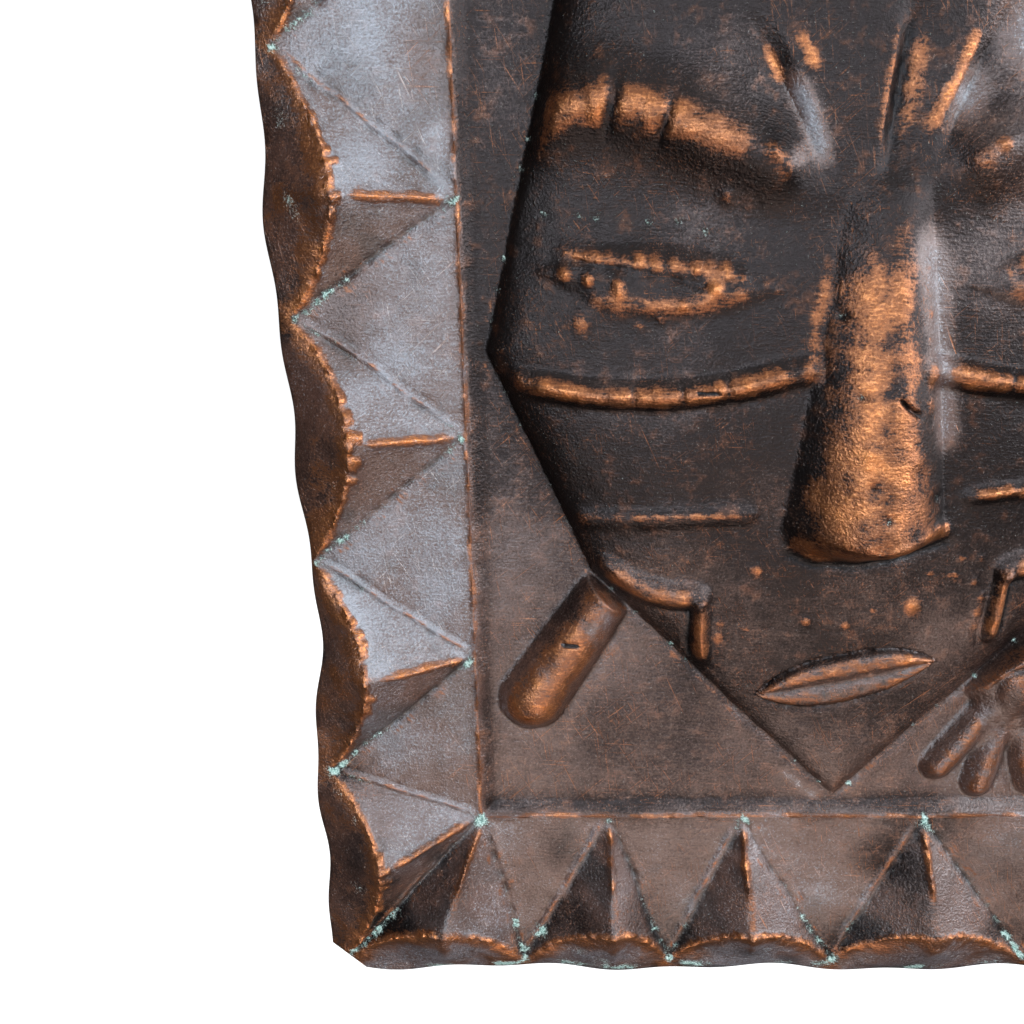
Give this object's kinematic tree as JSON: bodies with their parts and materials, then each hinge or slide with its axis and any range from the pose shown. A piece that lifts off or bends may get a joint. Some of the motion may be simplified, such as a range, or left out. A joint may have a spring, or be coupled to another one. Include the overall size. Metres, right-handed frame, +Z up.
{
  "type": "relief plaque",
  "caption": "Upright wall plaque beaten from one thin sheet: a stylised mask with hanging ear drops inside a border of raised teeth, dark with bright high points.",
  "frame": {"origin": "on the back of the flat strip of ground above the mask's crown, in the middle of the width, where the plaque is fixed to the wall", "axes": "+Z up the plaque, +X to the viewer's right, -Y out of the wall towards the viewer"},
  "size_m": [0.2444, 0.0194, 0.3384],
  "materials": {
    "patinated_copper": "dark brown patina, rubbed through to bright copper on the high points, green in the chased lines"
  },
  "bodies": {
    "root": {"copper_plaque": "patinated_copper"}
  },
  "joints": []
}
